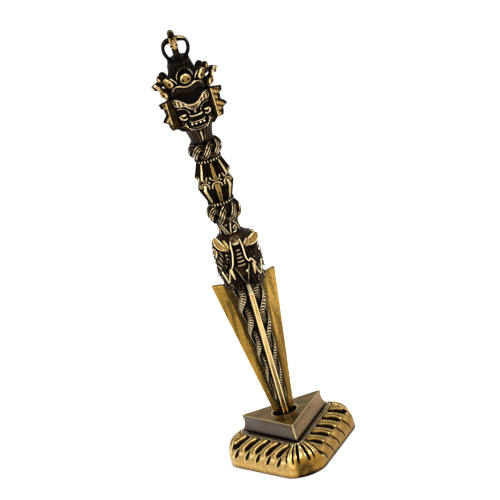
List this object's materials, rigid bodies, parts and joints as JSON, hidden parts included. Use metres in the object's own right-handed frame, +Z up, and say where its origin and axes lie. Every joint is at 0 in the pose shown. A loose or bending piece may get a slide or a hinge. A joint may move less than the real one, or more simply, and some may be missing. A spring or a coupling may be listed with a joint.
{
  "type": "ritual dagger",
  "caption": "Three-flanged ritual dagger with makara heads, knotted grip, three wrathful faces and half-vajra finial, standing in a triangular lotus stand.",
  "frame": {"origin": "on the dagger's axis, at the underside of the stand", "axes": "+Z up the dagger's axis to the finial; the front face, front flange and a stand corner point to -Y"},
  "size_m": [0.0622, 0.057, 0.2261],
  "materials": {
    "aged_brass": "dark patina, relief rubbed bright",
    "blade_brass": "polished, fine scratches",
    "plinth_brass": "tarnished satin",
    "foot_brass": "polished satin"
  },
  "bodies": {
    "stand": {"foot": "foot_brass", "lotus_skirt": "aged_brass", "petals_right": "aged_brass", "petals_back": "aged_brass", "petals_left": "aged_brass", "petals_front_corner": "aged_brass", "petals_right_corner": "aged_brass", "petals_left_corner": "aged_brass", "bead_rim": "aged_brass", "plinth": "plinth_brass"},
    "dagger": {"blade_core": "aged_brass", "flange_front": "blade_brass", "flange_right": "blade_brass", "flange_left": "blade_brass", "serpents_right": "aged_brass", "serpents_back": "aged_brass", "serpents_left": "aged_brass", "makara_body": "aged_brass", "makara_head_front": "aged_brass", "makara_head_right": "aged_brass", "makara_head_left": "aged_brass", "makara_ears": "aged_brass", "makara_tusks": "aged_brass", "makara_eyes": "aged_brass", "makara_curls": "aged_brass", "collar": "aged_brass", "lower_knot": "aged_brass", "lower_bead_ring": "aged_brass", "lower_grip_core": "aged_brass", "lower_grip_petals": "aged_brass", "waist_ring": "aged_brass", "upper_grip_core": "aged_brass", "upper_grip_petals": "aged_brass", "upper_bead_ring": "aged_brass", "upper_knot": "aged_brass", "neck": "aged_brass", "head_core": "aged_brass", "face_front": "aged_brass", "face_right": "aged_brass", "face_left": "aged_brass", "brows": "aged_brass", "eyes": "aged_brass", "noses": "aged_brass", "mouths": "aged_brass", "headband": "aged_brass", "ear_flames": "aged_brass", "crown_skulls": "aged_brass", "crown_leaves": "aged_brass", "topknot": "aged_brass", "vajra_base": "aged_brass", "prong_front": "aged_brass", "prong_right": "aged_brass", "prong_back": "aged_brass", "prong_left": "aged_brass", "central_prong": "aged_brass"}
  },
  "joints": [
    {"name": "dagger_lift", "type": "slide", "parent": "stand", "child": "dagger", "axis": [0, 0, 1], "range_m": [0, 0.04]}
  ]
}
